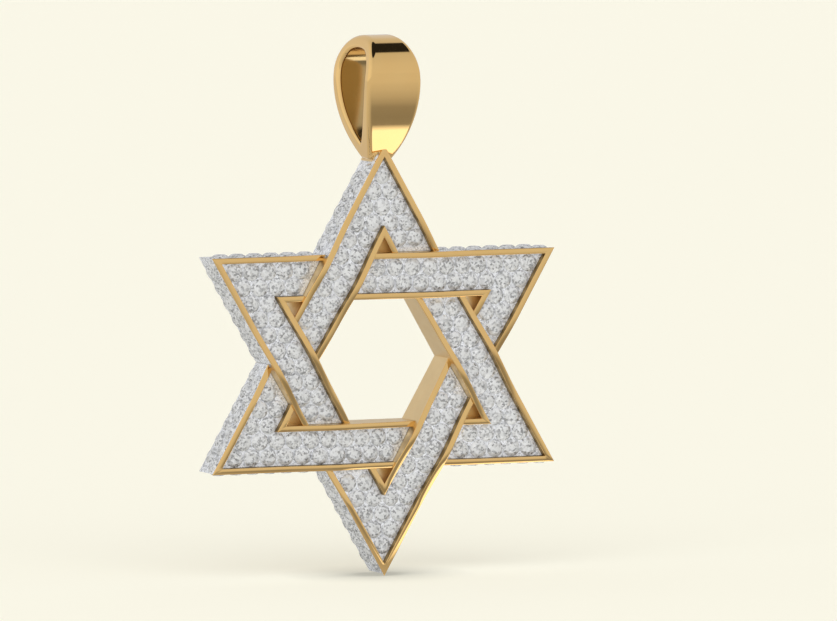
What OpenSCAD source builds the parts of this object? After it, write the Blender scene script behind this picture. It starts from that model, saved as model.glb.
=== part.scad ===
// Pendant of two interlaced triangular bands, stone-set at the front and on the outer side walls,
// hanging from a tapered ribbon bail. Millimetres, +Z up, front towards -Y.
// The origin is where a chain sits, inside the top of the bail, in the middle of the thickness.

/* [Star] */
// Centre of the star to each of its six tips
star_r = 14; // [12:0.5:18]
// Width of each band
band_w = 3; // [2.9:0.05:3.4]
// Thickness from the front rims at the tips to the flat back
star_t = 2.5; // [2.4:0.1:3.2]
// Rise of a band where it passes over, and its fall where it passes under
weave_rise = 0.28; // [0.1:0.02:0.34]

/* [Rims] */
// Width of the gold rim along each edge of a band
rim_w = 0.38; // [0.3:0.02:0.4]
// Height of the rims above the white plates
rim_h = 0.45; // [0.3:0.05:0.6]
// Depth of the gold lip between the front and the side plates
side_lip = 0.12; // [0.08:0.02:0.2]

/* [White plates] */
// Thickness of the plates in the front channels
front_plate_t = 0.55; // [0.52:0.01:0.7]
// Thickness of the plates on the outer side walls
side_plate_t = 0.15; // [0.12:0.01:0.18]
// How far the side plates lie below the rims' outer edge
side_inset = 0.06; // [0.02:0.01:0.08]
// Gap round each plate
plate_gap = 0.02; // [0.01:0.01:0.04]

/* [Stones] */
// Diameter of each round stone
stone_d = 1.08; // [0.9:0.02:1.1]
// Clear space between neighbouring stones
stone_space = 0.11; // [0.1:0.01:0.2]
// Height of the crown, from the stone's widest edge up to its table
crown_h = 0.17; // [0.1:0.01:0.2]
// Depth of the pointed lower half
pavilion_h = 0.46; // [0.3:0.01:0.46]
// Width of the flat table on top
table_d = 0.62; // [0.5:0.02:0.7]
// Gap between a stone and its seat
seat_gap = 0.03; // [0.02:0.01:0.04]
// Depth of the shallow seats in the side plates
side_seat_h = 0.1; // [0.06:0.01:0.1]

/* [Bail] */
// Top of the bail above the star's top tip
bail_rise = 7.1; // [6.5:0.1:9]
// Widest part of the ribbon, from its left edge to its right edge
ribbon_w = 3.78; // [3.2:0.02:4.4]
// Widest part of the loop, from front to back
loop_depth = 5.9; // [5.2:0.1:6.4]
// Thickness of the ribbon
ribbon_t = 0.85; // [0.7:0.05:1]
// Width of the foot that is soldered to the tip
foot_w = 1.6; // [1.2:0.1:2]
// Depth of the foot, from front to back
foot_depth = 1.2; // [1:0.1:1.6]
// How far the foot reaches down over the tip
foot_sink = 1; // [0.7:0.1:1.2]
// The star's tip up to the bottom of the loop's hole
web_h = 0.1; // [0.05:0.05:0.4]
// Top of the bail down to the level where the loop is deepest
deepest_drop = 2.4; // [2.1:0.1:2.6]
// Radius of the flat crown on top of the loop
crown_r = 5; // [4:0.1:7]
// Top of the bail down to the level where the ribbon is widest
widest_drop = 3.2; // [2.6:0.1:3.6]
// Radius of the ribbon's edges above its widest level
upper_edge_r = 6.5; // [6:0.1:9]

/* [Hidden] */
$fn = 96;
fine = 4 * $fn;
// A hair that keeps two cuts from ending on one face, how far a cut goes past what it cuts, how
// far neighbouring bands run into each other at a tip, and a length past the whole pendant
eps = 0.01;
beyond = 1;
lap = 0.2;
reach = 60;
tips = 6;
sixth = 360 / tips;
root3 = sqrt(3);

// Distances from the star's centre, measured square to a band
outer_u = star_r / 2;
inner_u = outer_u - band_w;
middle_u = outer_u - band_w / 2;
channel_out_u = outer_u - rim_w;
channel_in_u = inner_u + rim_w;
side_top_u = outer_u - side_inset;
side_floor_u = side_top_u - side_plate_t;

// Distances along a band, measured from its middle
tip_x = outer_u * root3;
hole_apex_x = inner_u * root3;

// Levels through the thickness, front towards -Y
front_y = -star_t / 2;
back_y = star_t / 2;
channel_floor_h = rim_h + front_plate_t + plate_gap;

// The weave: how far it reaches along each band, the steps it is drawn in, and how much its
// slopes ease towards level
weave_x = hole_apex_x - lap;
weave_steps = 24;
weave_ease = 0.6;

// Stones: two rows on a lattice of equal triangles, each stone in a seat that has a thin wall
// left between it and the end of its channel
pitch = stone_d + stone_space;
row_gap = pitch * root3 / 2;
seat_r = stone_d / 2 + seat_gap;
seat_wall = 0.02;
stone_sides = 8;
turn_step = 360 / stone_sides;

// Steps in each arc of the ribbon's edges
edge_steps = 9;

// Stones on a side wall: the first one's distance from the tip, and the back row's from the back
side_tip_space = 0.75;
side_back_space = 0.06;

// Levels above the star's centre
bail_top_z = star_r + bail_rise;
foot_z = star_r - foot_sink;
hole_z = star_r + web_h;
deepest_z = bail_top_z - deepest_drop;
widest_z = bail_top_z - widest_drop;
star_z = ribbon_t - bail_top_z;

// Front of a band at x along it: it rises where x is positive and falls where x is negative
function weave(x) =
  abs(x) >= weave_x ? 0 :
  let (turn = 180 * x / weave_x)
  -weave_rise * sin(turn) * (1 - weave_ease * pow(cos(turn), 2));

// The front's line along a band, at a depth below the rims
function woven_line(depth) = [
  [-tip_x - beyond, front_y + depth],
  for (i = [0 : weave_steps])
    let (x = weave_x * (2 * i / weave_steps - 1))
    [x, front_y + depth + weave(x)],
  [tip_x + beyond, front_y + depth]
];

function backwards(points) = [for (i = [len(points) - 1 : -1 : 0]) points[i]];

// Where the edge of a crossing band, at line_u from the centre, meets level u of this band
function crossing_x(line_u, u) = (u / 2 - line_u) * 2 / root3;

// Corners of a mitred end, carried on past the mitre along the next band, so that the two overlap
function lapped_end(low_u, high_u) =
  let (past = lap / 2 * [-1, -root3], low = low_u * [root3, 1], high = high_u * [root3, 1])
  [low, low + past, high + past, high];

// Places of the stones in one row of a band: the long run, then the short run past the crossing
function row_end_x(u) = u * root3 - pitch;
function long_run(u) = [
  for (x = [row_end_x(u) : -pitch : crossing_x(inner_u - seat_r - seat_wall, u)]) [x, u]
];
function short_run(u) = [
  for (x = [-row_end_x(u) : pitch : crossing_x(outer_u + seat_r + seat_wall, u)]) [x, u]
];
row_levels = [middle_u + row_gap / 2, middle_u - row_gap / 2];
long_places = [for (u = row_levels) each long_run(u)];
short_places = [for (u = row_levels) each short_run(u)];

// Distances from the star's centre to the two stones on the axis of each tip
axis_places = 2 * row_levels;

// Places of the stones on one flank: distance along the band, and level through the thickness
side_rows = [
  [tip_x - side_tip_space, back_y - side_back_space - stone_d / 2 - row_gap],
  [tip_x - side_tip_space - pitch / 2, back_y - side_back_space - stone_d / 2]
];
side_places = [
  for (row = side_rows)
    for (x = [row[0] : -pitch : outer_u / root3 + seat_r])
      [x, row[1]]
];

// Everything is drawn on the band across the top, round its right-hand tip, and turned from there
module at_star() {
  translate([0, 0, star_z])
    children();
}

module turned_to(tip) {
  rotate([0, sixth * (tip - 2), 0])
    children();
}

// The band that shares that right-hand tip
module next_band() {
  rotate([0, 2 * sixth, 0])
    children();
}

// A prism through the whole thickness, over an outline in X and Z
module through(outline) {
  translate([0, reach / 2, 0])
    rotate([90, 0, 0])
      linear_extrude(reach)
        polygon(outline);
}

// A woven sheet between two depths below the rims, from level low_u up to high_u
module woven_sheet(low_depth, high_depth, low_u, high_u) {
  translate([0, 0, low_u])
    linear_extrude(high_u - low_u)
      polygon(concat(woven_line(low_depth), backwards(woven_line(high_depth))));
}

// A block with a woven front and a flat back
module woven_block(depth, flat_y, low_u, high_u) {
  translate([0, 0, low_u])
    linear_extrude(high_u - low_u)
      polygon(concat(woven_line(depth), [[tip_x + beyond, flat_y], [-tip_x - beyond, flat_y]]));
}

module band() {
  intersection() {
    woven_block(0, back_y, inner_u - lap, outer_u);
    through(concat(
      lapped_end(inner_u, outer_u),
      [[-outer_u * root3, outer_u], [-inner_u * root3, inner_u]]
    ));
  }
}

// The two runs of a channel's outline, at a gap inside its walls and from the crossing band
module long_channel(gap, end_gap) {
  low = channel_in_u + gap;
  high = channel_out_u - gap;
  line = inner_u - end_gap;
  through(concat(
    lapped_end(low, high),
    [[crossing_x(line, high), high], [crossing_x(line, low), low]]
  ));
}

module short_channel(gap, end_gap) {
  low = channel_in_u + gap;
  high = channel_out_u - gap;
  line = outer_u + end_gap;
  through([
    [crossing_x(line, low), low], [crossing_x(line, high), high],
    [-high * root3, high], [-low * root3, low]
  ]);
}

// Cut a hair into the crossing band, so that no cut face lies on its side
module channel() {
  intersection() {
    woven_sheet(-beyond, channel_floor_h, inner_u, outer_u);
    long_channel(0, -eps);
  }
  intersection() {
    woven_sheet(-beyond, channel_floor_h, inner_u, outer_u);
    short_channel(0, -eps);
  }
}

// One flank's outline, on the right (hand 1) or the left (hand -1), from the notch to the tip
module flank(hand, low_u, low_x, high_u, high_x) {
  outline = concat([[high_x, high_u], [low_x, low_u]], lapped_end(low_u, high_u));
  through([for (point = outline) [hand * point[0], point[1]]]);
}

// At a notch the lower of the two pockets that meet there reaches into the other one
module side_pocket(hand) {
  low_u = side_floor_u - plate_gap;
  high_u = outer_u + beyond;
  intersection() {
    woven_block(side_lip, back_y + beyond, low_u - lap, high_u);
    flank(hand, low_u, low_u / root3, high_u, (hand > 0 ? high_u : low_u) / root3);
  }
}

module side_pockets(tip) {
  difference() {
    turned_to(tip) {
      side_pocket(1);
      next_band()
        side_pocket(-1);
    }
    if (tip == 1)
      foot_zone(0);
  }
}

// Everything above the lower end of the bail's foot
module foot_zone(gap) {
  translate([-reach / 2, -reach / 2, foot_z - gap])
    cube(reach);
}

// Outline of the loop from the side, as depth and height: a narrowing lower part, two round
// shoulders and a flatter crown, all meeting smoothly
module loop_outline(half, low_z, low_half, top_z, crown_radius) {
  rise = deepest_z - low_z;
  narrowing = half - low_half;
  belly_r = (narrowing * narrowing + rise * rise) / (2 * narrowing);
  fall = top_z - deepest_z;
  shoulder_r = (2 * crown_radius * fall - half * half - fall * fall) / (2 * (crown_radius - half));
  shoulder_y = half - shoulder_r;
  crown_z = top_z - crown_radius;
  slope = shoulder_y / (deepest_z - crown_z);
  intersection() {
    translate([half - belly_r, deepest_z])
      circle(belly_r, $fn = fine);
    translate([belly_r - half, deepest_z])
      circle(belly_r, $fn = fine);
    translate([-half, low_z - beyond])
      square([2 * half, rise + beyond]);
  }
  for (hand = [-1, 1])
    translate([hand * shoulder_y, deepest_z])
      circle(shoulder_r, $fn = fine);
  intersection() {
    translate([0, crown_z])
      circle(crown_radius, $fn = fine);
    translate([0, crown_z])
      polygon([[0, 0], [slope * reach, reach], [-slope * reach, reach]]);
  }
}

module loop_block() {
  rotate([90, 0, 90])
    linear_extrude(ribbon_w + beyond, center = true)
      loop_outline(loop_depth / 2, foot_z, foot_depth / 2, bail_top_z, crown_r);
}

module loop_hole() {
  rotate([90, 0, 90])
    linear_extrude(ribbon_w + 2 * beyond, center = true)
      loop_outline(loop_depth / 2 - ribbon_t, hole_z, 0, bail_top_z - ribbon_t, crown_r - ribbon_t);
}

// Points of an arc about a centre, without its first one
function arc(centre, radius, from, to) = [
  for (i = [1 : edge_steps])
    let (turn = from + (to - from) * i / edge_steps)
    centre + radius * [cos(turn), sin(turn)]
];

// Outline of the ribbon from the front: on each side a long arc below its widest level and one
// above it, in short straight steps
module ribbon_outline() {
  half = ribbon_w / 2;
  narrowing = half - foot_w / 2;
  rise = widest_z - foot_z;
  lower_edge_r = (narrowing * narrowing + rise * rise) / (2 * narrowing);
  right = concat(
    [[foot_w / 2, foot_z]],
    arc([half - lower_edge_r, widest_z], lower_edge_r, -asin(rise / lower_edge_r), 0),
    arc([half - upper_edge_r, widest_z], upper_edge_r, 0, asin((widest_drop + eps) / upper_edge_r))
  );
  polygon(concat(right, [for (point = backwards(right)) [-point[0], point[1]]]));
}

module bail() {
  difference() {
    intersection() {
      loop_block();
      rotate([90, 0, 0])
        linear_extrude(loop_depth + beyond, center = true)
          ribbon_outline();
    }
    loop_hole();
  }
}

module gold_frame() {
  color("goldenrod")
    at_star() {
      difference() {
        for (tip = [1 : tips])
          turned_to(tip)
            band();
        for (tip = [1 : tips])
          turned_to(tip)
            channel();
        for (tip = [1 : tips])
          side_pockets(tip);
      }
      bail();
    }
}

// Puts a copy at each stone's place in the channel round one tip
module at_front_places() {
  for (place = long_places)
    translate([place[0], front_y + rim_h + weave(place[0]), place[1]])
      children();
  next_band()
    for (place = short_places)
      translate([place[0], front_y + rim_h + weave(place[0]), place[1]])
        children();
  rotate([0, -sixth / 2, 0])
    for (radius = axis_places)
      translate([radius, front_y + rim_h, 0])
        children();
}

// Puts a copy at each stone's place on one flank, those that the bail's foot covers left out
module at_side_places(hand, tip) {
  for (place = side_places)
    if (tip != 1 || star_r - (tip_x - place[0]) * root3 / 2 < foot_z - seat_r)
      translate([hand * place[0], place[1], side_top_u])
        children();
}

// A round cut stone with its table towards -Y: an eight-sided table, a zigzag crown and a point
module stone() {
  n = stone_sides;
  table = [for (i = [0 : n - 1])
    let (turn = turn_step * (i + 0.5))
    [table_d / 2 * cos(turn), -crown_h, table_d / 2 * sin(turn)]];
  edge = [for (i = [0 : n - 1])
    let (turn = turn_step * i)
    [stone_d / 2 * cos(turn), 0, stone_d / 2 * sin(turn)]];
  polyhedron(
    points = concat(table, edge, [[0, pavilion_h, 0]]),
    faces = concat(
      [[for (i = [0 : n - 1]) i]],
      [for (i = [0 : n - 1]) [i, n + i, n + (i + 1) % n]],
      [for (i = [0 : n - 1]) [i, n + (i + 1) % n, (i + 1) % n]],
      [for (i = [0 : n - 1]) [n + (i + 1) % n, n + i, 2 * n]]
    )
  );
}

module front_seat() {
  seat_h = pavilion_h + seat_gap;
  rotate([-90, 0, 0])
    rotate_extrude()
      polygon([[0, -crown_h], [seat_r, -crown_h], [seat_r, 0], [seat_gap, seat_h], [0, seat_h]]);
}

module side_seat() {
  translate([0, 0, -side_seat_h])
    cylinder(h = side_seat_h, r1 = seat_r * (1 - side_seat_h / pavilion_h), r2 = seat_r);
}

// The plate round one tip, whole
module bent_plate() {
  difference() {
    union() {
      intersection() {
        woven_sheet(rim_h, rim_h + front_plate_t, inner_u, outer_u);
        long_channel(plate_gap, plate_gap);
      }
      next_band()
        intersection() {
          woven_sheet(rim_h, rim_h + front_plate_t, inner_u, outer_u);
          short_channel(plate_gap, plate_gap);
        }
    }
    at_front_places()
      front_seat();
  }
}

// The plate on the top tip stops short of the bail's foot
module front_plate(tip) {
  color("gainsboro")
    at_star()
      difference() {
        turned_to(tip)
          bent_plate();
        if (tip == 1)
          foot_zone(plate_gap);
      }
}

module flank_plate(hand, tip) {
  low_x = side_floor_u / root3 + plate_gap;
  high_x = side_top_u / root3 + plate_gap;
  difference() {
    intersection() {
      woven_block(side_lip + plate_gap, back_y, side_floor_u - lap, side_top_u);
      flank(hand, side_floor_u, low_x, side_top_u, high_x);
    }
    at_side_places(hand, tip)
      side_seat();
  }
}

module side_plate(tip) {
  color("gainsboro")
    at_star()
      turned_to(tip) {
        flank_plate(1, tip);
        next_band()
          flank_plate(-1, tip);
      }
}

// The two flanks under the bail, which its foot keeps apart
module side_plate_1(side) {
  color("gainsboro")
    at_star()
      difference() {
        turned_to(1)
          if (side == "left")
            flank_plate(1, 1);
          else
            next_band()
              flank_plate(-1, 1);
        foot_zone(plate_gap);
      }
}

module tip_stones(tip) {
  at_star()
    turned_to(tip)
      at_front_places()
        stone();
}

module up_stones() {
  color("azure")
    for (tip = [1, 3, 5])
      tip_stones(tip);
}

module down_stones() {
  color("azure")
    for (tip = [2, 4, 6])
      tip_stones(tip);
}

gold_frame();
front_plate(1);  // front_plate_1
front_plate(2);  // front_plate_2
front_plate(3);  // front_plate_3
front_plate(4);  // front_plate_4
front_plate(5);  // front_plate_5
front_plate(6);  // front_plate_6
side_plate_1("left");  // side_plate_1_left
side_plate_1("right");  // side_plate_1_right
side_plate(2);  // side_plate_2
side_plate(3);  // side_plate_3
side_plate(4);  // side_plate_4
side_plate(5);  // side_plate_5
side_plate(6);  // side_plate_6
up_stones();
down_stones();
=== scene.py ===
"""Star pendant: two woven gold bands, the bail, their set stones and a plain studio, round the packed part."""

import math
import random

import bmesh
import bpy
from mathutils import Matrix, Vector


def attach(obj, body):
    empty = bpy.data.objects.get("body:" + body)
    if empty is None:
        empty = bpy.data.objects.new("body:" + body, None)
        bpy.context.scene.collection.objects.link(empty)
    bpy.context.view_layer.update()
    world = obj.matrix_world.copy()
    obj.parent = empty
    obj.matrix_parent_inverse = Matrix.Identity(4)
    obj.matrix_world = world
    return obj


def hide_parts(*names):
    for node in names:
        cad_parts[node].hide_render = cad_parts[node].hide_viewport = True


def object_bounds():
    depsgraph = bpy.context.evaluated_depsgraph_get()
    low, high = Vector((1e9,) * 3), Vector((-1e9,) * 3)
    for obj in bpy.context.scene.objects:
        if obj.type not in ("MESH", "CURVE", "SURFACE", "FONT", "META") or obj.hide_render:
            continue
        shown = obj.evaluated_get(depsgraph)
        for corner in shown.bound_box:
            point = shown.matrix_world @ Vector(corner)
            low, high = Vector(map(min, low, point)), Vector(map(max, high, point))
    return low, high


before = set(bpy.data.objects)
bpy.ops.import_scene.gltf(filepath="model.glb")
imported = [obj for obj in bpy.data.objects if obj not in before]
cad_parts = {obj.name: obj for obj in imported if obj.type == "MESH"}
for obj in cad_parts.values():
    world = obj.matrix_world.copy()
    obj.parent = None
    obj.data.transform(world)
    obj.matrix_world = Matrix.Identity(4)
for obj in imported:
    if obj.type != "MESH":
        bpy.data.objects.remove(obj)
cad_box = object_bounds()

bl_info = {
    "name": "Star Pendant",
    "version": (1, 0, 0),
    "blender": (4, 5, 0),
    "location": "View3D > Sidebar > Pendant",
    "description": "Builds the woven gold bands, bail, set stones and studio of a star pendant",
    "category": "Object",
}

BODY = "root"
ROOT3 = math.sqrt(3)
SIXTH = math.radians(60)
TIPS = 6
FRONT_PLATES = ["front_plate_%d" % tip for tip in range(1, TIPS + 1)]
SIDE_PLATES = ["side_plate_1_left", "side_plate_1_right"] + ["side_plate_%d" % tip for tip in range(2, TIPS + 1)]
BAIL_TOP = cad_box[1][2]
FLOOR_LEVEL = cad_box[0][2]

# Finishes of the bands' faces, in the order of gold_materials; DEEP is the darkened gold that paints the shade down in
# the channels
POLISHED, WALL, DEEP, STONED = 0, 1, 2, 3

# The crossings end this far short of the inner tips. The weave's slopes ease towards level by this share.
CROSSING_SHORT = 0.0002
WEAVE_EASE = 0.6

# A band that runs under its neighbour: its front, how far its back and ends lie inside, and its thinnest gold
BURIED_FRONT = -0.00015
BURIED_BACK_INSET = 0.00005
BURIED_END_INSET = 0.0001
BURIED_WALL = 0.0003

# Beside the bail's foot: share of the last stretch of wall that the foot takes, the share in which the
# recess ends, the length and the back edge of the white strip, and the plain gold step below the lip
FOOT_SHARE = 0.1382
FOOT_STEP = 0.0024
STRIP_LENGTH = 0.0013
STRIP_BACK = -0.00062
LIP_STEP = 0.0001

# Points this near the back stay flat
FLAT_BACK = 0.0002

# Crisp edges: the sharpest angle that is still smoothed, and the narrow bands that hold a rounding's ends
SMOOTH_ANGLE = 38
HOLD = 0.00004

# Metal and gap from the last stone to the end of its channel, in front and on the side walls, and slack for
# rounding
FRONT_SEAT_WALL = 0.00005
SIDE_SEAT_WALL = 0.00003
SLACK = 1e-9

# Spread of the front stones' tilt, in radians
STONE_TILT = 0.012

# The smallest stones, beside the bail's foot: the first one's distance from the tip and the next ones' pitch
# in diameters, their depth behind the front and their crown as a share of the others'
APEX_FIRST = 0.85
APEX_PITCH = 1.08
APEX_DEPTH = 0.00038
APEX_CROWN = 0.35

# The cards on the floor: places as (x, y), half sizes, and greys from the middle out
GREY_CARD_PLACE = (0.019, -0.0325)
GREY_CARD_REACH = 0.15
GREY_CARD_SHADES = ((0.0, 0.27), (0.10, 0.30), (0.16, 0.40), (0.27, 0.50), (0.46, 0.58), (1.0, 0.66))
BRIGHT_CARD_PLACE = (0.0155, -0.00835)
BRIGHT_CARD_SIZE = (0.013, 0.01635)
BRIGHT_CARD_SHADES = ((0.0, 1.0), (0.7, 1.0), (1.0, 0.22))
CARD_LIFT = 0.0001

# The sky's greys, by the sine of the height and by how far to the right
SKY_HEIGHTS = ((-1, 0.6), (0, 0.68), (0.45, 0.66), (0.80, 0.60), (0.845, 0.55), (0.865, 0.02), (1, 0.02))
SKY_SIDES = ((-1, 1.0), (-0.6, 0.92), (-0.2, 0.8), (1, 0.8))

# Where the lights shine
OVERHEAD_DIRECTION = (-0.03, 0.06, -1)
FRONT_DIRECTION = (0.35, 0.8, -0.5)

# The floor: brightness as shares of its colour, and greys of the painted contact shadow from near to far
FLOOR_SHARE = 0.60
FLOOR_SHARE_DARK = 0.596
CONTACT_SHADES = ((0.55, 0.2), (0.97, 1.0))


def length(name, description, default):
    """A length property, in metres."""
    return bpy.props.FloatProperty(
        name=name, description=description, default=default, min=0, precision=6, unit="LENGTH"
    )


def share(name, description, default):
    """A property from 0 to 1."""
    return bpy.props.FloatProperty(
        name=name, description=description, default=default, min=0, max=1, subtype="FACTOR"
    )


def number(name, description, default):
    """A plain number above 0."""
    return bpy.props.FloatProperty(name=name, description=description, default=default, min=0, subtype="NONE")


def angle(name, description, degrees):
    """An angle property, given in degrees."""
    return bpy.props.FloatProperty(
        name=name, description=description, default=math.radians(degrees), subtype="ANGLE"
    )


def colour(name, description, default):
    """A colour property, linear."""
    return bpy.props.FloatVectorProperty(
        name=name, description=description, default=default, min=0, max=1, size=3, subtype="COLOR"
    )


class PendantStar(bpy.types.PropertyGroup):
    """Sizes of the two woven bands."""

    tip_radius: length("Tip radius", "Centre of the star to each tip", 0.014)
    band_width: length("Band width", "Width of each band", 0.003)
    thickness: length("Thickness", "Front rims at the tips to the flat back", 0.0025)
    weave_rise: length("Weave rise", "How far a band's rims rise where it passes over", 0.00034)
    plate_rise: length("Plate rise", "How far the white plates rise there", 0.00028)
    rim_width: length("Rim width", "Width of the gold rims", 0.00038)
    channel_depth: length("Channel depth", "Rims down to the floor of the channel", 0.00102)
    rim_round: length("Rim rounding", "Rounding along the rims' outer edges", 0.00006)
    channel_round: length("Channel rounding", "Rounding along the rims' inner edges", 0.000025)
    lip: length("Side lip", "Depth of the gold lip over the side stones", 0.00012)
    recess: length("Side recess", "Depth of the recess for the side stones", 0.00023)


class PendantBail(bpy.types.PropertyGroup):
    """Sizes of the ribbon bail."""

    rise: length("Rise", "Top tip up to the top of the bail", 0.0071)
    width: length("Ribbon width", "Widest part of the ribbon", 0.00378)
    depth: length("Loop depth", "Widest part of the loop, front to back", 0.0059)
    thickness: length("Ribbon thickness", "Thickness of the ribbon", 0.00085)
    foot_width: length("Foot width", "Width where the ribbon meets the tip", 0.0016)
    foot_depth: length("Foot depth", "Depth where the ribbon meets the tip", 0.0012)
    foot_sink: length("Foot overlap", "How far the foot reaches down over the tip", 0.001)
    web: length("Web", "Top tip up to the bottom of the hole", 0.0001)
    deepest_drop: length("Deepest level", "Top of the bail down to the loop's deepest level", 0.0024)
    widest_drop: length("Widest level", "Top of the bail down to the ribbon's widest level", 0.0032)
    crown_radius: length("Crown radius", "Radius of the flat crown of the loop", 0.005)
    upper_radius: length("Upper edge radius", "Radius of the ribbon's edges above its widest level", 0.0065)
    edge_round: length("Edge rounding", "Rounding along the ribbon's edges", 0.00027)


class PendantStones(bpy.types.PropertyGroup):
    """Sizes of the stones and the places that they are set in."""

    diameter: length("Diameter", "Diameter of each round stone", 0.00116)
    seat: length("Seat", "Diameter of each seat in the plates", 0.00108)
    space: length("Space", "Clear space between neighbouring seats", 0.00011)
    crown: length("Crown height", "Widest edge up to the table", 0.00017)
    pavilion: length("Pavilion depth", "Widest edge down to the point", 0.00046)
    table: share("Table", "Width of the table as a share of the diameter", 0.57)
    rim_height: length("Rim height", "Front rims down to the stones' widest edge", 0.00043)
    side_inset: length("Side inset", "Outer edge down to the side stones' widest edge", 0.00006)
    side_pavilion: length("Side pavilion", "Depth of the side stones below their widest edge", 0.00009)
    tip_space: length("Tip space", "Tip to the first side stone", 0.00075)
    apex: length("Apex stone", "Diameter of the smallest stones, beside the bail's foot", 0.00044)
    seed: bpy.props.IntProperty(name="Seed", description="Seed for the turn of each stone", default=11, min=0)


class PendantFinish(bpy.types.PropertyGroup):
    """Colours and gloss of the metals and the stones."""

    gold: colour("Gold", "Colour of the polished gold", (0.98, 0.655, 0.27))
    gold_warm: colour("Warm gold", "Colour of the gold's faint warm clouds", (0.97, 0.63, 0.25))
    gold_roughness: share("Gold roughness", "Roughness of the polish", 0.06)
    wall_gold: colour("Wall gold", "Colour of the satin gold on the inner walls", (0.90, 0.67, 0.35))
    wall_roughness: share("Wall roughness", "Roughness of the satin inner walls", 0.36)
    # The gold inside the bail is darkened: painted shade for the loop's hollow.
    loop_gold_painted_shade: colour("Loop gold", "Colour of the gold inside the bail", (0.65, 0.46, 0.21))
    # The gold down beside the stones is darkened: painted shade for the channels.
    deep_gold_painted_shade: colour("Deep gold", "Colour of the gold down beside the stones", (0.42, 0.28, 0.11))
    white_metal: colour("White metal", "Colour of the white plates", (0.86, 0.875, 0.91))
    white_roughness: share("White metal roughness", "Roughness of the white plates", 0.32)
    white_mirror: share("White metal mirror", "How much of the plates' light is mirrored", 0.6)
    stone: colour("Stone", "Colour of the clear stones", (0.975, 0.985, 1.0))
    foil: colour("Stone back", "Colour that the stones' lower facets mirror", (0.96, 0.97, 0.995))
    stone_body: share("Stone depth", "How much light passes into the stones", 0.5)
    # The glints are painted: light and dark patches in the colour of the stones and the white metal.
    glints: number("Glints", "Glints to the metre", 8200)
    glint_dark: share("Glint dark", "Brightness of the darkest glints", 0.28)


class PendantStage(bpy.types.PropertyGroup):
    """The camera, the lights and the floor."""

    azimuth: angle("Azimuth", "Turn of the view from straight ahead", 24.15)
    elevation: angle("Elevation", "How far the view looks down", 4.6)
    distance: length("Distance", "Camera to the star's middle", 0.8)
    lens: number("Lens", "Focal length in millimetres", 531)
    aim_right: length("Aim right", "How far the view is centred to the right of the star's middle", 0.002185)
    aim_up: length("Aim up", "How far the view is centred above the star's middle", 0.003260)
    floor_radius: length("Floor radius", "Radius of the floor", 3.0)
    floor_colour: colour("Floor colour", "Colour of the floor and the backdrop", (0.956, 0.93, 0.80))
    floor_glow: share("Floor glow", "How much of the floor's brightness doesn't depend on the light", 0.427)
    contact: length("Contact shade", "How near to the piece the floor gets darker", 0.0055)
    overhead: number("Overhead light", "Strength of the light from above", 0.35)
    overhead_softness: angle("Overhead softness", "Angle that the light from above fills", 110)
    front: number("Front light", "Strength of the light from the front", 2.2)
    front_softness: angle("Front softness", "Angle that the light from the front fills", 90)
    card: number("Bright card", "Strength of the bright card on the floor", 1.5)
    sky: number("Sky", "Strength of the studio's walls and ceiling", 1.25)


GROUPS = {
    "pendant_star": PendantStar,
    "pendant_bail": PendantBail,
    "pendant_stones": PendantStones,
    "pendant_finish": PendantFinish,
    "pendant_stage": PendantStage,
}


# ---------------------------------------------------------------- shared forms


class StarForm:
    """Levels and lines of the woven star, worked out from its sizes."""

    def __init__(self, scene):
        star = scene.pendant_star
        bail = scene.pendant_bail
        self.outer = star.tip_radius / 2
        self.inner = self.outer - star.band_width
        self.middle = self.outer - star.band_width / 2
        self.recess = self.outer - star.recess
        self.front = -star.thickness / 2
        self.back = star.thickness / 2
        self.rise = star.weave_rise
        self.reach = self.inner * ROOT3 - CROSSING_SHORT
        self.centre = BAIL_TOP - bail.rise - star.tip_radius
        self.tip = self.outer * ROOT3

    def weave(self, x, rise):
        """How far the front moves back at x along a band: it rises where x is positive."""
        if abs(x) >= self.reach:
            return 0.0
        turn = math.pi * x / self.reach
        return -rise * math.sin(turn) * (1 - WEAVE_EASE * math.cos(turn) ** 2)

    def place(self, tip, x, y, u):
        """A point of the band whose right-hand end is at this tip: x along it, u out from the centre."""
        turn = SIXTH * (tip - 2)
        across = x * math.cos(turn) + u * math.sin(turn)
        return Vector((across, y, self.centre - x * math.sin(turn) + u * math.cos(turn)))


def new_mesh_object(name, points, faces, materials, face_materials=None):
    """An object from points and faces, its faces all turned outwards."""
    mesh = bpy.data.meshes.new(name)
    mesh.from_pydata(points, [], faces)
    for material in materials:
        mesh.materials.append(material)
    if face_materials:
        mesh.polygons.foreach_set("material_index", face_materials)
    work = bmesh.new()
    work.from_mesh(mesh)
    bmesh.ops.recalc_face_normals(work, faces=work.faces)
    work.to_mesh(mesh)
    work.free()
    piece = bpy.data.objects.new(name, mesh)
    bpy.context.scene.collection.objects.link(piece)
    return piece


def smooth_by_angle(piece, degrees):
    """Smooth shading, with the edges over this angle kept crisp and the flats kept flat."""
    piece.data.shade_smooth()
    piece.data.set_sharp_from_angle(angle=math.radians(degrees))
    crisp = piece.modifiers.new("Flat faces", "WEIGHTED_NORMAL")
    crisp.keep_sharp = True
    crisp.weight = 100


def ring_faces(rows, count, closed=True):
    """Quads between rows of points, each row a closed loop of count points."""
    faces = []
    for row in range(rows if closed else rows - 1):
        after = (row + 1) % rows
        for k in range(count):
            n = (k + 1) % count
            faces.append((row * count + k, row * count + n, after * count + n, after * count + k))
    return faces


def quarter_round(corner, start, end, steps=3):
    """Points of a rounded corner, from start to end, round the sharp corner that lies between them."""
    points = []
    centre = (start[0] + end[0] - corner[0], start[1] + end[1] - corner[1])
    for i in range(steps + 1):
        turn = math.pi / 2 * i / steps
        points.append(tuple(
            centre[j] + (start[j] - centre[j]) * math.cos(turn) + (end[j] - centre[j]) * math.sin(turn) for j in (0, 1)
        ))
    return points


# ---------------------------------------------------------------- the bands


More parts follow.
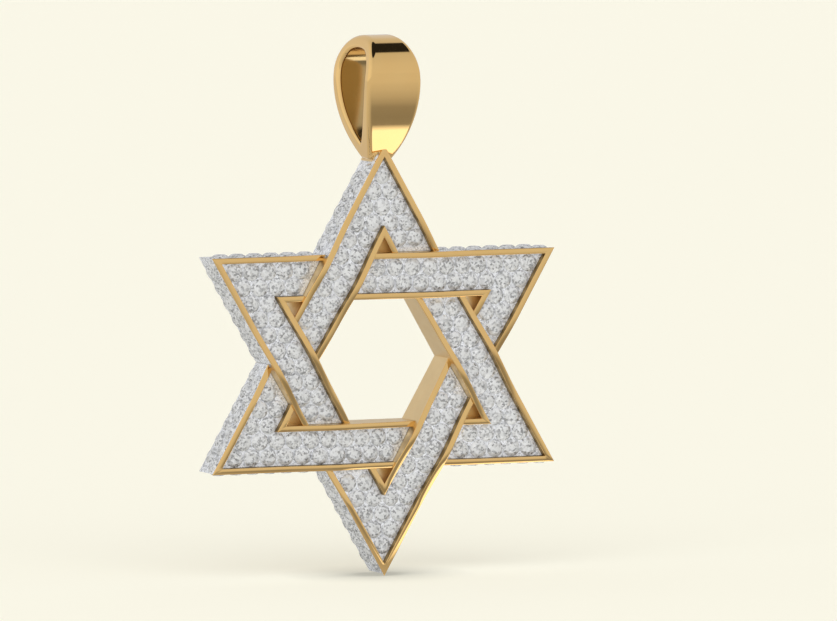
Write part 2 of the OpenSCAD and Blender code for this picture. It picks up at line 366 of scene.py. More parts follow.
def band_outline(scene, form, recessed, buried, apex):
    """Section of a band, round from the inner back edge, as (distance from the centre, depth, finish).

    The finish is that of the face which starts at the point.
    """
    star = scene.pendant_star
    inner, outer = form.inner, form.outer
    front, back = form.front, form.back
    low, high = inner + star.rim_width, outer - star.rim_width
    r, c = star.rim_round, star.channel_round
    if buried:
        front, back, outer, recessed = BURIED_FRONT, form.back - BURIED_BACK_INSET, form.recess, False
        high = outer - BURIED_WALL
    floor = min(front + star.channel_depth, back - BURIED_WALL)
    lip = front + star.lip
    outline = []

    def edge(points, finish=POLISHED):
        outline.extend((u, y, POLISHED) for u, y in points[:-1])
        outline.append((*points[-1], finish))

    edge([(inner + r, back), (inner, back - r)], WALL)
    edge(quarter_round((inner, front), (inner, front + r), (inner + r, front)))
    edge(quarter_round((low, front), (low - c, front), (low, front + c)), DEEP)
    edge([(low, floor)], DEEP)
    edge([(high, floor)], DEEP)
    edge(quarter_round((high, front), (high, front + c), (high + c, front)))
    edge(quarter_round((outer, front), (outer - r, front), (outer, front + r)))
    if recessed:
        edge([(outer, lip), (form.recess, lip)], WALL)
        edge([(form.recess, back), (form.recess - r, back)])
    else:
        edge([(outer, lip)], STONED if apex else WALL)
        edge([(outer, STRIP_BACK if apex else lip + LIP_STEP)], WALL)
        edge([(outer, back - r), (outer - r, back)])
    return outline


def band_stations(form, tip):
    """Lines across a band, as (start, slope, recessed, buried), from its left-hand mitre to its right-hand one."""
    thin = 0.00002
    left_mitre = (0.0, -ROOT3)
    right_mitre = (0.0, ROOT3)
    under = (-2 * form.outer / ROOT3, 1 / ROOT3)
    out_again = (-2 * form.inner / ROOT3, 1 / ROOT3)
    notch = (2 * form.recess / ROOT3, -1 / ROOT3)

    def between(a, b, s):
        return (a[0] + (b[0] - a[0]) * s, a[1] + (b[1] - a[1]) * s)

    def moved(line, distance):
        return (line[0] + distance, line[1])

    steps = 26
    lines = []
    for i in range(1, steps + 1):
        lines.append((between(left_mitre, under, i / steps), not (tip == 3 and i / steps < FOOT_SHARE), False))
    if tip == 3:
        lines.insert(3, (between(left_mitre, under, FOOT_SHARE), False, False))
        lines.insert(4, (between(left_mitre, under, FOOT_SHARE + FOOT_STEP), True, False))
    lines.append((moved(under, BURIED_END_INSET), False, True))
    lines.append((moved(out_again, -BURIED_END_INSET), False, True))
    steps = 34
    for i in range(steps + 1):
        lines.append((between(out_again, notch, i / steps), False, False))
    steps = 26
    lines.append((moved(notch, thin), True, False))
    for i in range(1, steps + 1):
        plain = tip == 1 and i / steps > 1 - FOOT_SHARE
        lines.append((between(notch, right_mitre, i / steps), not plain, False))
    if tip == 1:
        lines.insert(-4, (between(notch, right_mitre, 1 - FOOT_SHARE - FOOT_STEP), True, False))
        lines.insert(-4, (between(notch, right_mitre, 1 - FOOT_SHARE), False, False))
    return lines


def woven_triangle(scene, name, tips, materials):
    """One closed band that runs round three tips, over one neighbour and under the next."""
    form = StarForm(scene)
    points, finishes = [], []
    rows = 0
    for tip in tips:
        for (start, slope), recessed, buried in band_stations(form, tip):
            apex = not recessed and abs(start + slope * form.outer) > form.tip - STRIP_LENGTH
            for u, y, finish in band_outline(scene, form, recessed, buried, apex and tip in (1, 3)):
                x = start + slope * u
                if not buried and y < form.back - FLAT_BACK:
                    y += form.weave(x, form.rise)
                points.append(form.place(tip, x, y, u))
                finishes.append(finish)
            rows += 1
    piece = new_mesh_object(name, points, ring_faces(rows, len(points) // rows), materials, finishes)
    smooth_by_angle(piece, SMOOTH_ANGLE)
    return piece


# ---------------------------------------------------------------- the bail


def loop_half(form, bail, half, low, low_half, top, crown):
    """Half of the loop's outline from the side, from its lower end up to its top, as (depth, height)."""
    deepest = form.bail_top - bail.deepest_drop
    rise = deepest - low
    narrowing = half - low_half
    belly = (narrowing ** 2 + rise ** 2) / (2 * narrowing)
    fall = top - deepest
    shoulder = (2 * crown * fall - half ** 2 - fall ** 2) / (2 * (crown - half))
    shoulder_y = half - shoulder
    crown_z = top - crown
    meet = math.atan2(deepest - crown_z, shoulder_y)
    points = []
    for i in range(28):
        turn = -math.asin(rise / belly) * (1 - i / 28)
        points.append((half - belly + belly * math.cos(turn), deepest + belly * math.sin(turn)))
    for i in range(24):
        turn = meet * i / 24
        points.append((shoulder_y + shoulder * math.cos(turn), deepest + shoulder * math.sin(turn)))
    for i in range(5):
        turn = meet + (math.pi / 2 - meet) * i / 4
        points.append((crown * math.cos(turn), crown_z + crown * math.sin(turn)))
    return points


def ribbon_half_width(form, bail, z):
    """Half of the ribbon's width at a height above the star's centre."""
    half = bail.width / 2
    widest = form.bail_top - bail.widest_drop
    if z >= widest:
        return half - bail.upper_radius + math.sqrt(bail.upper_radius ** 2 - (z - widest) ** 2)
    narrowing = half - bail.foot_width / 2
    rise = widest - form.foot
    radius = (narrowing ** 2 + rise ** 2) / (2 * narrowing)
    return half - radius + math.sqrt(radius ** 2 - (widest - z) ** 2)


def ribbon_bail(scene, name, materials):
    """The tapered ribbon loop, as sections of the ribbon all round it."""
    star, bail = scene.pendant_star, scene.pendant_bail
    form = StarForm(scene)
    form.bail_top = star.tip_radius + bail.rise
    form.foot = star.tip_radius - bail.foot_sink
    half, t, r = bail.depth / 2, bail.thickness, bail.edge_round
    outer = loop_half(form, bail, half, form.foot, bail.foot_depth / 2, form.bail_top, bail.crown_radius)
    hole = star.tip_radius + bail.web
    inner = loop_half(form, bail, half - t, hole, 0, form.bail_top - t, bail.crown_radius - t)
    inner[0] = (0.00002, hole + 0.00003)
    pairs = list(zip(outer, inner))
    pairs += [((-o[0], o[1]), (-i[0], i[1])) for o, i in reversed(pairs[:-1])]
    points, finishes = [], []
    for outside, inside in pairs:
        depth = math.dist(outside, inside)
        section = [(1 - r - HOLD, 0)]
        section += quarter_round((1, 0), (1 - r, 0), (1, r), 5)
        section += [(1, r + HOLD), (1, depth - r - HOLD)]
        section += quarter_round((1, depth), (1, depth - r), (1 - r, depth), 5)
        section.append((1 - r - HOLD, depth))
        inside_first = len(section) - 2
        section += [(-a, b) for a, b in reversed(section)]
        for k, (a, b) in enumerate(section):
            s = b / depth
            y = outside[0] + (inside[0] - outside[0]) * s
            z = outside[1] + (inside[1] - outside[1]) * s
            edge = ribbon_half_width(form, bail, z)
            x = math.copysign(edge - (1 - abs(a)), a)
            points.append((x, y, form.centre + z))
            finishes.append(WALL if inside_first <= k <= inside_first + 2 else POLISHED)
    piece = new_mesh_object(name, points, ring_faces(len(pairs), len(points) // len(pairs)), materials, finishes)
    smooth_by_angle(piece, SMOOTH_ANGLE)
    return piece


# ---------------------------------------------------------------- the stones


def brilliant(radius, crown, pavilion, table_share):
    """Points and faces of a round brilliant, table up, with a mark on each face: 0 above the girdle, 1 below."""
    points, faces, marks = [], [], []
    girdle = radius * 0.022
    table_r = radius * table_share

    def ring(count, r, z, offset):
        first = len(points)
        for i in range(count):
            turn = 2 * math.pi * (i + offset) / count
            points.append((r * math.cos(turn), r * math.sin(turn), z))
        return first

    table = ring(8, table_r, crown, 0)
    star = ring(8, radius * 0.8, crown * 0.6, 0.5)
    top = ring(16, radius, girdle, 0)
    bottom = ring(16, radius, -girdle, 0)
    lower = ring(8, radius * 0.3, -pavilion * 0.74, 0.5)
    point = len(points)
    points.append((0, 0, -pavilion))
    faces.append([table + i for i in range(8)])
    for i in range(8):
        n = (i + 1) % 8
        g = 2 * i
        faces.append([table + i, star + i, table + n])
        faces.append([table + n, star + i, top + (g + 2) % 16, star + n])
        faces.append([star + i, top + g + 1, top + (g + 2) % 16])
        faces.append([star + i, top + g, top + g + 1])
    marks += [0] * len(faces)
    for i in range(16):
        n = (i + 1) % 16
        faces.append([top + i, bottom + i, bottom + n, top + n])
        marks.append(0)
    for i in range(8):
        n = (i + 1) % 8
        g = 2 * i
        faces.append([bottom + g, lower + i, bottom + g + 1])
        faces.append([bottom + g + 1, lower + i, bottom + (g + 2) % 16])
        faces.append([bottom + (g + 2) % 16, lower + i, point, lower + n])
        marks += [1, 1, 1]
    return points, faces, marks


def stone_field(name, stones, materials):
    """Many stones as one mesh. Each stone is (place, axes, radius, crown, pavilion, table share)."""
    points, faces, marks = [], [], []
    for place, axes, radius, crown, pavilion, table in stones:
        cut, sides, above = brilliant(radius, crown, pavilion, table)
        first = len(points)
        points += [place + axes @ Vector(p) for p in cut]
        faces += [[first + k for k in side] for side in sides]
        marks += above
    return new_mesh_object(name, points, faces, materials, marks)


def table_axes(outward, along, turn):
    """Axes of a stone whose table faces outward, turned about it."""
    third = outward.cross(along)
    return Matrix((along, third, outward)).transposed() @ Matrix.Rotation(turn, 3, "Z")


def front_places(scene):
    """Places of the front stones as (tip, x, u), for each tip, as the seats in the plates have them."""
    form = StarForm(scene)
    gems = scene.pendant_stones
    pitch = gems.seat + gems.space
    row_gap = pitch * ROOT3 / 2
    room = gems.seat / 2 + FRONT_SEAT_WALL
    places = []
    for tip in range(1, TIPS + 1):
        for u in (form.middle + row_gap / 2, form.middle - row_gap / 2):
            x = u * ROOT3 - pitch
            while x >= (u / 2 - form.inner + room) * 2 / ROOT3 - SLACK:
                places.append((tip, x, u))
                x -= pitch
            x = -u * ROOT3 + pitch
            while x <= (u / 2 - form.outer - room) * 2 / ROOT3 + SLACK:
                places.append(((tip + 1) % TIPS + 1, x, u))
                x += pitch
            places.append((tip, u * ROOT3, u))
    return places


def set_front_stones(scene, name, tips, materials):
    """The stones of one triangle's channels."""
    form = StarForm(scene)
    gems = scene.pendant_stones
    draw = random.Random(gems.seed + tips[0])
    stones = []
    for tip, x, u in front_places(scene):
        if tip not in tips:
            continue
        level = form.front + gems.rim_height + form.weave(x, scene.pendant_star.plate_rise)
        place = form.place(tip, x, level, u)
        tilt = Vector((draw.gauss(0, STONE_TILT), -1, draw.gauss(0, STONE_TILT))).normalized()
        along = Vector((1, 0, 0)) - tilt * tilt.x
        axes = table_axes(tilt, along.normalized(), draw.uniform(0, math.pi / 4))
        stones.append((place, axes, gems.diameter / 2, gems.crown, gems.pavilion, gems.table))
    return stone_field(name, stones, materials)


def apex_stones(form, gems, draw):
    """The smallest stones, in front of the bail's foot on both sides of the top tip."""
    stones = []
    radius = gems.apex / 2
    for hand, band in ((1, 1), (-1, 3)):
        turn = Matrix.Rotation(SIXTH * (band - 2), 3, "Y")
        for k in range(3):
            x = form.tip - gems.apex * (APEX_FIRST + APEX_PITCH * k)
            place = form.place(band, hand * x, form.front + APEX_DEPTH, form.outer)
            axes = table_axes(turn @ Vector((0, 0, 1)), turn @ Vector((1, 0, 0)), draw.uniform(0, math.pi / 4))
            stones.append((place, axes, radius, gems.crown * APEX_CROWN, gems.side_pavilion, gems.table))
    return stones


def set_side_stones(scene, name, tips, materials):
    """The two rows of stones on the outer walls round these tips."""
    form = StarForm(scene)
    gems = scene.pendant_stones
    star, bail = scene.pendant_star, scene.pendant_bail
    draw = random.Random(gems.seed + 40 + tips[0])
    pitch = gems.seat + gems.space
    room = gems.seat / 2 + SIDE_SEAT_WALL
    back_row = form.back - gems.side_inset - gems.seat / 2
    first = form.tip - gems.tip_space
    rows = ((first, back_row - pitch * ROOT3 / 2), (first - pitch / 2, back_row))
    level = form.outer - gems.side_inset
    stones = []
    for tip in tips:
        for hand, band in ((1, tip), (-1, (tip + 1) % TIPS + 1)):
            turn = Matrix.Rotation(SIXTH * (band - 2), 3, "Y")
            for start, y in rows:
                x = start
                while x >= form.outer / ROOT3 + room:
                    below_foot = star.tip_radius - (form.tip - x) * ROOT3 / 2 < star.tip_radius - bail.foot_sink - room
                    if tip != 1 or below_foot:
                        outward = turn @ Vector((0, 0, 1))
                        along = turn @ Vector((1, 0, 0))
                        axes = table_axes(outward, along, draw.uniform(0, math.pi / 4))
                        place = form.place(band, hand * x, y, level)
                        stones.append((place, axes, gems.diameter / 2, gems.crown, gems.side_pavilion, gems.table))
                    x -= pitch
    if 1 in tips:
        stones += apex_stones(form, gems, draw)
    return stone_field(name, stones, materials)


# ---------------------------------------------------------------- materials


def fresh_material(name):
    """A new node material: its tree, its shader, and the piece's own coordinates."""
    material = bpy.data.materials.new(name)
    material.use_nodes = True
    nodes = material.node_tree.nodes
    nodes.clear()
    out = nodes.new("ShaderNodeOutputMaterial")
    shader = nodes.new("ShaderNodeBsdfPrincipled")
    material.node_tree.links.new(shader.outputs["BSDF"], out.inputs["Surface"])
    place = nodes.new("ShaderNodeTexCoord")
    return material, material.node_tree, shader, place.outputs["Object"]


def clouds(tree, place, scale, detail=3.0):
    """Soft noise over the piece, at this many turns to the metre."""
    noise = tree.nodes.new("ShaderNodeTexNoise")
    noise.inputs["Scale"].default_value = scale
    noise.inputs["Detail"].default_value = detail
    tree.links.new(place, noise.inputs["Vector"])
    return noise.outputs["Fac"]


def blend_colours(tree, fac, dark, light, low=0.35, high=0.65):
    """A colour that goes from dark to light with the noise."""
    ramp = tree.nodes.new("ShaderNodeValToRGB")
    ramp.color_ramp.elements[0].position = low
    ramp.color_ramp.elements[0].color = (*dark, 1)
    ramp.color_ramp.elements[1].position = high
    ramp.color_ramp.elements[1].color = (*light, 1)
    tree.links.new(fac, ramp.inputs["Fac"])
    return ramp.outputs["Color"]


def glints(tree, place, scale):
    """Small flat patches, this many to the metre, with three separate chance values; the first paints light and dark
    glints into a colour.
    """
    patches = tree.nodes.new("ShaderNodeTexVoronoi")
    patches.inputs["Scale"].default_value = scale
    tree.links.new(place, patches.inputs["Vector"])
    split = tree.nodes.new("ShaderNodeSeparateColor")
    tree.links.new(patches.outputs["Color"], split.inputs["Color"])
    return split.outputs["Red"], split.outputs["Green"], split.outputs["Blue"]


def ramp_of(tree, fac, shades):
    """Greys along a value: (place, grey) pairs."""
    ramp = tree.nodes.new("ShaderNodeValToRGB")
    bands = ramp.color_ramp.elements
    for band, (place, grey) in zip(bands, (shades[0], shades[-1])):
        band.position = place
        band.color = (grey, grey, grey, 1)
    for place, grey in shades[1:-1]:
        bands.new(place).color = (grey, grey, grey, 1)
    tree.links.new(fac, ramp.inputs["Fac"])
    return ramp.outputs["Color"]


def spread(tree, fac, low, high):
    """The noise, spread between two values."""
    fit = tree.nodes.new("ShaderNodeMapRange")
    fit.inputs["From Min"].default_value = 0.3
    fit.inputs["From Max"].default_value = 0.7
    fit.inputs["To Min"].default_value = low
    fit.inputs["To Max"].default_value = high
    tree.links.new(fac, fit.inputs["Value"])
    return fit.outputs["Result"]


def raised(tree, fac, shader, distance, strength=1.0):
    """Fine relief from the noise."""
    bump = tree.nodes.new("ShaderNodeBump")
    bump.inputs["Strength"].default_value = strength
    bump.inputs["Distance"].default_value = distance
    tree.links.new(fac, bump.inputs["Height"])
    tree.links.new(bump.outputs["Normal"], shader.inputs["Normal"])


def polished_gold(scene):
    """Polished yellow gold with faint warm clouds and fine polishing marks."""
    finish = scene.pendant_finish
    material, tree, shader, place = fresh_material("polished_gold")
    shader.inputs["Metallic"].default_value = 1.0
    tone = clouds(tree, place, 320)
    tree.links.new(blend_colours(tree, tone, finish.gold_warm, finish.gold), shader.inputs["Base Color"])
    marks = clouds(tree, place, 2600, 5)
    rough = finish.gold_roughness
    tree.links.new(spread(tree, marks, rough * 0.7, rough * 1.5), shader.inputs["Roughness"])
    raised(tree, marks, shader, 0.0000006, 0.4)
    return material


def satin_gold(name, colour_at, roughness):
    """Gold of one tone with a soft satin finish."""
    material, tree, shader, place = fresh_material(name)
    shader.inputs["Metallic"].default_value = 1.0
    tone = clouds(tree, place, 700)
    dark = tuple(0.95 * c for c in colour_at)
    tree.links.new(blend_colours(tree, tone, dark, colour_at), shader.inputs["Base Color"])
    marks = clouds(tree, place, 3200, 4)
    tree.links.new(spread(tree, marks, roughness * 0.85, roughness * 1.15), shader.inputs["Roughness"])
    raised(tree, marks, shader, 0.000001, 0.3)
    return material


def wall_gold(scene):
    """Satin gold of the bands' inner walls."""
    finish = scene.pendant_finish
    return satin_gold("satin_wall_gold", finish.wall_gold, finish.wall_roughness)


def deep_gold_painted_shade(scene):
    """Satin gold down between the rims and the stones, darkened as painted shade in the channels."""
    finish = scene.pendant_finish
    return satin_gold("deep_channel_painted_shade_gold", finish.deep_gold_painted_shade, finish.wall_roughness)


def loop_gold_painted_shade(scene):
    """Smooth gold inside the bail's loop, darkened as painted shade in the loop's hollow."""
    return satin_gold("loop_inside_painted_shade_gold", scene.pendant_finish.loop_gold_painted_shade, 0.12)


def bright_white_metal(scene):
    """The white metal round the stones, its colour broken up into small light and dark patches as painted glints."""
    finish = scene.pendant_finish
    material, tree, shader, place = fresh_material("bright_white_metal")
    shader.inputs["Metallic"].default_value = finish.white_mirror
    tone, polish, tilt = glints(tree, place, finish.glints)
    dark = tuple(0.5 * c for c in finish.white_metal)
    # Painted glints: the patches make the colour light and dark.
    tree.links.new(blend_colours(tree, tone, dark, finish.white_metal, 0.0, 0.5), shader.inputs["Base Color"])
    rough = finish.white_roughness
    tree.links.new(spread(tree, polish, rough * 0.8, rough * 1.3), shader.inputs["Roughness"])
    raised(tree, tilt, shader, 0.00001, 0.5)
    return material


def clear_stone(scene):
    """The stones' upper facets: bright crystal, its colour broken up into small light and dark patches as painted
    glints.
    """
    finish = scene.pendant_finish
    material, tree, shader, place = fresh_material("clear_stone_crown")
    shader.inputs["Transmission Weight"].default_value = finish.stone_body
    shader.inputs["IOR"].default_value = 2.2
    tone, polish, tilt = glints(tree, place, finish.glints)
    dark = tuple(finish.glint_dark * c for c in finish.stone)
    # Painted glints: the patches make the colour light and dark.
    tree.links.new(blend_colours(tree, tone, dark, finish.stone, 0.0, 0.6), shader.inputs["Base Color"])
    tree.links.new(spread(tree, polish, 0.02, 0.12), shader.inputs["Roughness"])
    raised(tree, tilt, shader, 0.00001, 0.5)
    return material


def mirrored_stone(scene):
    """The stones' lower facets, which throw the light back."""
    finish = scene.pendant_finish
    material, tree, shader, place = fresh_material("clear_stone_back")
    shader.inputs["Metallic"].default_value = 1.0
    tone = clouds(tree, place, 900)
    pale = tuple(0.95 * c for c in finish.foil)
    tree.links.new(blend_colours(tree, tone, pale, finish.foil), shader.inputs["Base Color"])
    tree.links.new(spread(tree, tone, 0.03, 0.08), shader.inputs["Roughness"])
    return material


def found_material(name, make, scene):
    """A material by name, made once."""
    return bpy.data.materials.get(name) or make(scene)


def gold_materials(scene):
    """The golds of the bands, in the order of their finishes."""
    return [
        found_material("polished_gold", polished_gold, scene),
        found_material("satin_wall_gold", wall_gold, scene),
        found_material("deep_channel_painted_shade_gold", deep_gold_painted_shade, scene),
        found_material("bright_white_metal", bright_white_metal, scene),
    ]


def stone_materials(scene):
    """The stones' materials: upper facets, then lower ones."""
    return [
        found_material("clear_stone_crown", clear_stone, scene),
        found_material("clear_stone_back", mirrored_stone, scene),
    ]


# ---------------------------------------------------------------- the studio


def emission_material(name, colour_at):
    """A material that only shines, in the colour that colour_at links up."""
    material = bpy.data.materials.new(name)
    material.use_nodes = True
    tree = material.node_tree
    tree.nodes.clear()
    out = tree.nodes.new("ShaderNodeOutputMaterial")
    glow = tree.nodes.new("ShaderNodeEmission")
    tree.links.new(glow.outputs["Emission"], out.inputs["Surface"])
    colour_at(tree, glow)
    return material


def disc(name, radius, level, material, sides=96):
    """A flat round sheet."""
    turns = [2 * math.pi * i / sides for i in range(sides)]
    points = [(radius * math.cos(turn), radius * math.sin(turn), level) for turn in turns]
    return new_mesh_object(name, points, [list(range(sides))], [material])


def seen_by(piece, camera=True, diffuse=True, glossy=True, shadow=True):
    """Which rays meet a piece of the studio."""
    piece.visible_camera = camera
    piece.visible_diffuse = diffuse
    piece.visible_glossy = glossy
    piece.visible_transmission = glossy
    piece.visible_volume_scatter = diffuse
    piece.visible_shadow = shadow


def pale_floor(scene):
    """The pale floor: it shines a little, so that it stays even all over, and still takes shadows; near the piece a
    painted contact shadow darkens its colour.
    """
    stage = scene.pendant_stage
    material, tree, shader, place = fresh_material("pale_floor")
    tone = clouds(tree, place, 2.0, 1)
    shade = tuple(FLOOR_SHARE * c for c in stage.floor_colour)
    slightly = tuple(FLOOR_SHARE_DARK * c for c in stage.floor_colour)
    # Painted contact shadow: ambient occlusion near the piece darkens the floor's colour.
    contact = tree.nodes.new("ShaderNodeAmbientOcclusion")
    contact.inputs["Distance"].default_value = stage.contact
    darker = tree.nodes.new("ShaderNodeVectorMath")
    darker.operation = "MULTIPLY"
    tree.links.new(blend_colours(tree, tone, slightly, shade), darker.inputs[0])
    tree.links.new(ramp_of(tree, contact.outputs["AO"], CONTACT_SHADES), darker.inputs[1])
    tree.links.new(darker.outputs["Vector"], shader.inputs["Base Color"])
    shader.inputs["Roughness"].default_value = 1.0
    shader.inputs["Specular IOR Level"].default_value = 0.0
    shader.inputs["Emission Color"].default_value = (*stage.floor_colour, 1)
    shader.inputs["Emission Strength"].default_value = stage.floor_glow
    floor = disc("floor", stage.floor_radius, FLOOR_LEVEL, material)
    seen_by(floor, glossy=False)


def backdrop(scene):
    """A pale dome round the floor, for the camera alone."""
    stage = scene.pendant_stage

    def even(tree, glow):
        glow.inputs["Color"].default_value = (*stage.floor_colour, 1)

    work = bmesh.new()
    bmesh.ops.create_uvsphere(work, u_segments=48, v_segments=24, radius=stage.floor_radius)
    mesh = bpy.data.meshes.new("backdrop")
    work.to_mesh(mesh)
    work.free()
    mesh.materials.append(emission_material("pale_backdrop", even))
    dome = bpy.data.objects.new("backdrop", mesh)
    scene.collection.objects.link(dome)
    dome.location.z = FLOOR_LEVEL
    seen_by(dome, camera=True, diffuse=False, glossy=False, shadow=False)


def table_cards(scene):
    """Cards on the floor that only the polish sees: grey all round, and a bright one that shines up in front."""
    stage = scene.pendant_stage

    def reach(tree, share):
        place = tree.nodes.new("ShaderNodeTexCoord")
        far = tree.nodes.new("ShaderNodeVectorMath")
        far.operation = "LENGTH"
        tree.links.new(place.outputs["Object"], far.inputs[0])
        fit = tree.nodes.new("ShaderNodeMapRange")
        fit.inputs["From Max"].default_value = share
        tree.links.new(far.outputs["Value"], fit.inputs["Value"])
        return fit.outputs["Result"]

    def grey(tree, glow):
        tree.links.new(ramp_of(tree, reach(tree, GREY_CARD_REACH), GREY_CARD_SHADES), glow.inputs["Color"])

    def bright(tree, glow):
        tree.links.new(ramp_of(tree, reach(tree, 1.0), BRIGHT_CARD_SHADES), glow.inputs["Color"])
        glow.inputs["Strength"].default_value = stage.card

    card = disc("table_card", stage.floor_radius, 0, emission_material("table_card", grey))
    card.location = (*GREY_CARD_PLACE, FLOOR_LEVEL + CARD_LIFT)
    shine = disc("bright_card", 1.0, 0, emission_material("bright_card", bright))
    shine.scale = (*BRIGHT_CARD_SIZE, 1)
    shine.location = (*BRIGHT_CARD_PLACE, FLOOR_LEVEL + 2 * CARD_LIFT)
    for sheet in (card, shine):
        seen_by(sheet, camera=False, diffuse=False, glossy=True, shadow=False)


def studio_sky(scene):
    """Soft grey walls of light, brighter on the left, with a dark ceiling opening, as the polish sees them."""
    world = bpy.data.worlds.new("studio")
    scene.world = world
    world.use_nodes = True
    tree = world.node_tree
    tree.nodes.clear()
    out = tree.nodes.new("ShaderNodeOutputWorld")
    light = tree.nodes.new("ShaderNodeBackground")
    tree.links.new(light.outputs["Background"], out.inputs["Surface"])
    place = tree.nodes.new("ShaderNodeTexCoord")
    split = tree.nodes.new("ShaderNodeSeparateXYZ")
    tree.links.new(place.outputs["Generated"], split.inputs["Vector"])

    def along(axis, shades):
        fit = tree.nodes.new("ShaderNodeMapRange")
        fit.inputs["From Min"].default_value = -1
        tree.links.new(split.outputs[axis], fit.inputs["Value"])
        return ramp_of(tree, fit.outputs["Result"], [((sine + 1) / 2, value) for sine, value in shades])

    height = along("Z", SKY_HEIGHTS)
    side = along("X", SKY_SIDES)
    tree.links.new(height, light.inputs["Color"])
    brighter = tree.nodes.new("ShaderNodeMath")
    brighter.operation = "MULTIPLY"
    brighter.inputs[1].default_value = scene.pendant_stage.sky
    tree.links.new(side, brighter.inputs[0])
    tree.links.new(brighter.outputs["Value"], light.inputs["Strength"])


def soft_light(name, direction, strength, softness, shadow=True):
    """A wide soft light that shines evenly along this direction, and that the polish doesn't mirror."""
    data = bpy.data.lights.new(name, "SUN")
    data.energy = strength
    data.angle = softness
    data.use_shadow = shadow
    light = bpy.data.objects.new(name, data)
    bpy.context.scene.collection.objects.link(light)
    light.rotation_euler = Vector(direction).to_track_quat("-Z", "Y").to_euler()
    light.visible_glossy = False
    light.visible_transmission = False
    return light


def studio_camera(scene):
    """A long lens at the photograph's viewing angle."""
    stage = scene.pendant_stage
    form = StarForm(scene)
    a, e = stage.azimuth, stage.elevation
    right = Vector((math.cos(a), -math.sin(a), 0))
    forward = Vector((math.sin(a) * math.cos(e), math.cos(a) * math.cos(e), -math.sin(e)))
    up = right.cross(forward)
    aim = Vector((0, form.front, form.centre)) + right * stage.aim_right + up * stage.aim_up
    data = bpy.data.cameras.new("camera")
    data.lens = stage.lens
    data.sensor_width = 36
    data.clip_start = 0.01
    data.clip_end = 20
    camera = bpy.data.objects.new("camera", data)
    scene.collection.objects.link(camera)
    turned = Matrix((right, up, -forward)).transposed().to_4x4()
    camera.matrix_world = Matrix.Translation(aim - forward * stage.distance) @ turned
    scene.camera = camera


# ---------------------------------------------------------------- the operators


class PENDANT_OT_bands(bpy.types.Operator):
    """Builds the two woven triangular gold bands"""

    bl_idname = "pendant.bands"
    bl_label = "Woven bands"

    def execute(self, context):
        scene = context.scene
        golds = gold_materials(scene)
        for name, tips in (("up_triangle", (1, 3, 5)), ("down_triangle", (2, 4, 6))):
            piece = woven_triangle(scene, name, tips, golds)
            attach(piece, BODY)
            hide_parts("gold_frame")
        return {"FINISHED"}


class PENDANT_OT_bail(bpy.types.Operator):
    """Builds the tapered ribbon bail"""

    bl_idname = "pendant.bail"
    bl_label = "Ribbon bail"

    def execute(self, context):
        scene = context.scene
        golds = [gold_materials(scene)[POLISHED], found_material("loop_inside_painted_shade_gold", loop_gold_painted_shade, scene)]
        piece = ribbon_bail(scene, "bail", golds)
        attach(piece, BODY)
        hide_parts("gold_frame")
        return {"FINISHED"}


class PENDANT_OT_plates(bpy.types.Operator):
    """Finishes the white plates that the stones are set in"""

    bl_idname = "pendant.plates"
    bl_label = "White plates"

    def execute(self, context):
        white = found_material("bright_white_metal", bright_white_metal, context.scene)
        for name in FRONT_PLATES + SIDE_PLATES:
            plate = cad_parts[name]
            for place in plate.material_slots:
                place.material = white
        return {"FINISHED"}


class PENDANT_OT_front_stones(bpy.types.Operator):
    """Sets the cut stones in the front channels"""

    bl_idname = "pendant.front_stones"
    bl_label = "Front stones"

    def execute(self, context):
        scene = context.scene
        for name, tips, node in (
            ("up_front_stones", (1, 3, 5), "up_stones"),
            ("down_front_stones", (2, 4, 6), "down_stones"),
        ):
            piece = set_front_stones(scene, name, tips, stone_materials(scene))
            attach(piece, BODY)
            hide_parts(node)
        return {"FINISHED"}


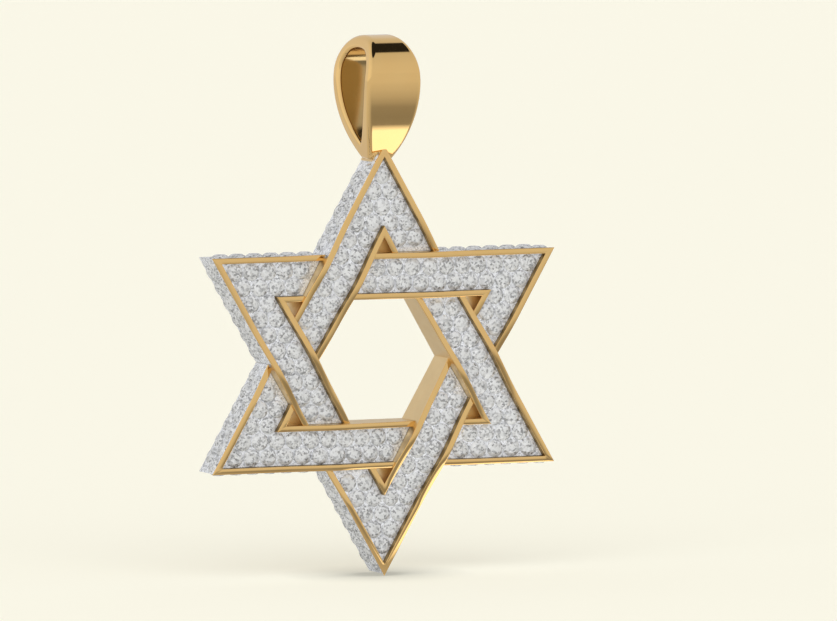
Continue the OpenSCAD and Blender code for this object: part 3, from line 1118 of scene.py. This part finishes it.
class PENDANT_OT_side_stones(bpy.types.Operator):
    """Sets the cut stones on the outer side walls"""

    bl_idname = "pendant.side_stones"
    bl_label = "Side stones"

    def execute(self, context):
        scene = context.scene
        piece = set_side_stones(scene, "side_stones", (1, 2, 3, 4, 5, 6), stone_materials(scene))
        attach(piece, BODY)
        return {"FINISHED"}


class PENDANT_OT_stage(bpy.types.Operator):
    """Sets up the floor, the soft light and the camera"""

    bl_idname = "pendant.stage"
    bl_label = "Plain studio"

    def execute(self, context):
        scene = context.scene
        scene.view_settings.view_transform = "Standard"
        pale_floor(scene)
        backdrop(scene)
        table_cards(scene)
        studio_sky(scene)
        stage = scene.pendant_stage
        soft_light("overhead_light", OVERHEAD_DIRECTION, stage.overhead, stage.overhead_softness)
        soft_light("front_light", FRONT_DIRECTION, stage.front, stage.front_softness, shadow=False)
        studio_camera(scene)
        return {"FINISHED"}


OPERATORS = [
    PENDANT_OT_bands,
    PENDANT_OT_bail,
    PENDANT_OT_plates,
    PENDANT_OT_front_stones,
    PENDANT_OT_side_stones,
    PENDANT_OT_stage,
]


class PENDANT_PT_sidebar(bpy.types.Panel):
    """Lists the pendant's pieces, with the sizes and colours of each"""

    bl_idname = "PENDANT_PT_sidebar"
    bl_label = "Star pendant"
    bl_space_type = "VIEW_3D"
    bl_region_type = "UI"
    bl_category = "Pendant"

    def draw(self, context):
        for operator in OPERATORS:
            self.layout.operator(operator.bl_idname)
        for name, group in GROUPS.items():
            box = self.layout.box()
            box.label(text=group.__doc__)
            for field in group.__annotations__:
                box.prop(getattr(context.scene, name), field)


CLASSES = list(GROUPS.values()) + OPERATORS + [PENDANT_PT_sidebar]


def register():
    """Adds the groups, operators and panel to Blender."""
    for entry in CLASSES:
        bpy.utils.register_class(entry)
    for name, group in GROUPS.items():
        setattr(bpy.types.Scene, name, bpy.props.PointerProperty(type=group))


def unregister():
    """Takes them out again."""
    for name in GROUPS:
        delattr(bpy.types.Scene, name)
    for entry in reversed(CLASSES):
        bpy.utils.unregister_class(entry)


def main():
    """Builds the whole scene."""
    register()
    bpy.ops.pendant.bands()
    bpy.ops.pendant.bail()
    bpy.ops.pendant.plates()
    bpy.ops.pendant.front_stones()
    bpy.ops.pendant.side_stones()
    bpy.ops.pendant.stage()


if __name__ == "__main__":
    main()
